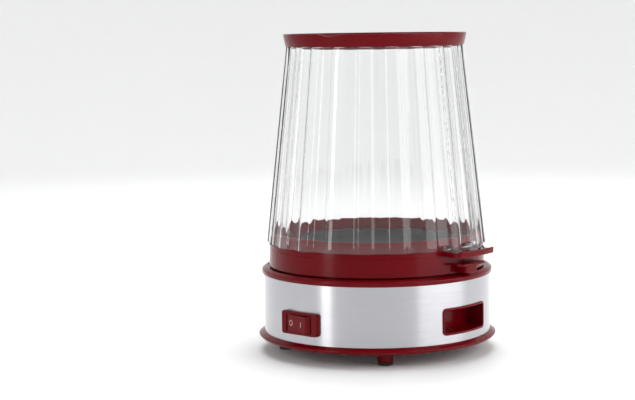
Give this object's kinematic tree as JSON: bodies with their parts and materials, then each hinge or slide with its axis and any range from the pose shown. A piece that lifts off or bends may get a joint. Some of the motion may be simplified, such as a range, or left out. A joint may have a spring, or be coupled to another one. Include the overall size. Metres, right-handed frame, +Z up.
{
  "type": "popcorn maker",
  "caption": "Tabletop popcorn maker: round steel-banded red base with rocker switch and hand recesses, lift-off stirring tray, clear fluted bowl with side tabs, flared red cap.",
  "frame": {"origin": "on the vertical axis of the base and bowl, at the surface that the feet stand on", "axes": "+Z up, front with the switch towards -Y, right-hand handle tab and hand recess towards +X"},
  "size_m": [0.3048, 0.2838, 0.3713],
  "materials": {
    "red_plastic": "deep red glossy moulded plastic",
    "clear_plastic": "clear polycarbonate",
    "brushed_steel": "horizontally brushed stainless steel",
    "black_plastic": "black moulded plastic",
    "rubber": "soft black rubber",
    "screw_steel": "zinc plated steel",
    "cast_aluminium": "cast aluminium, as cast",
    "element_sheath": "dark oxidised tube",
    "sheet_steel": "plain sheet steel",
    "nonstick": "dark grey non-stick coating on aluminium",
    "ceramic": "off-white ceramic",
    "copper_winding": "enamelled copper winding",
    "brass": "turned brass",
    "gear_nylon": "natural nylon",
    "magnet": "dark ferrite magnet",
    "lead_insulation": "woven glass sleeved insulation",
    "polished_wire": "polished stainless wire"
  },
  "bodies": {
    "base": {"base_pan": "red_plastic", "rubber_feet": "rubber", "case_screws": "screw_steel", "steel_band": "brushed_steel", "base_top_ring": "red_plastic", "hand_grip_left": "red_plastic", "hand_grip_right": "red_plastic", "switch_bezel": "red_plastic", "switch_body": "black_plastic", "switch_terminals": "brass", "cord_gland": "black_plastic", "terminal_block": "ceramic", "wiring": "lead_insulation", "heater_plate": "cast_aluminium", "heating_element": "element_sheath", "element_pins": "screw_steel", "heater_insulators": "ceramic", "heater_screws": "screw_steel", "heat_shield": "sheet_steel", "thermostat": "ceramic", "thermal_fuse": "sheet_steel", "motor_case": "sheet_steel", "motor_cover": "sheet_steel", "motor_screws": "screw_steel", "stator_coil": "copper_winding", "gear_pins": "screw_steel", "output_bush": "brass"},
    "rocker": {"switch_rocker": "red_plastic"},
    "output_shaft": {"output_gear": "gear_nylon", "drive_dog": "gear_nylon"},
    "idler": {"compound_gear": "gear_nylon"},
    "motor_rotor": {"rotor": "magnet"},
    "tray": {"tray_ring": "red_plastic", "popping_plate": "nonstick", "plate_screws": "screw_steel", "spindle_bush": "brass", "bush_nut": "brass"},
    "spindle": {"spindle": "polished_wire", "spindle_clip": "screw_steel"},
    "stirrer": {"stirrer_hub": "black_plastic", "stirring_arms": "polished_wire"},
    "bowl": {"popping_bowl": "clear_plastic", "bowl_ring": "red_plastic"},
    "lid": {"lid": "red_plastic"}
  },
  "joints": [
    {"name": "switch_press", "type": "hinge", "parent": "base", "child": "rocker", "pos_m": [0, -0.1302, 0.0468], "axis": [0, 0, 1], "range_deg": [0, 18]},
    {"name": "output_spin", "type": "hinge", "parent": "base", "child": "output_shaft", "pos_m": [0, 0, 0.08], "axis": [0, 0, 1], "continuous": true},
    {"name": "idler_spin", "type": "hinge", "parent": "base", "child": "idler", "pos_m": [0.01237, 0.004, 0.058], "axis": [0, 0, 1], "continuous": true},
    {"name": "rotor_spin", "type": "hinge", "parent": "base", "child": "motor_rotor", "pos_m": [0, 0.008, 0.05], "axis": [0, 0, 1], "continuous": true},
    {"name": "tray_lift", "type": "slide", "parent": "base", "child": "tray", "axis": [0, 0, 1], "range_m": [0, 0.06]},
    {"name": "spindle_spin", "type": "hinge", "parent": "tray", "child": "spindle", "pos_m": [0, 0, 0.107], "axis": [0, 0, 1], "continuous": true},
    {"name": "stirrer_lift", "type": "slide", "parent": "spindle", "child": "stirrer", "axis": [0, 0, 1], "range_m": [0, 0.03]},
    {"name": "bowl_lift", "type": "slide", "parent": "tray", "child": "bowl", "axis": [0, 0, 1], "range_m": [0, 0.12]},
    {"name": "lid_lift", "type": "slide", "parent": "bowl", "child": "lid", "axis": [0, 0, 1], "range_m": [0, 0.05]}
  ],
  "couplings": [
    {"joint": "idler_spin", "follows": "rotor_spin", "ratio": -0.3},
    {"joint": "output_spin", "follows": "rotor_spin", "ratio": 0.09},
    {"joint": "spindle_spin", "follows": "rotor_spin", "ratio": 0.09}
  ]
}
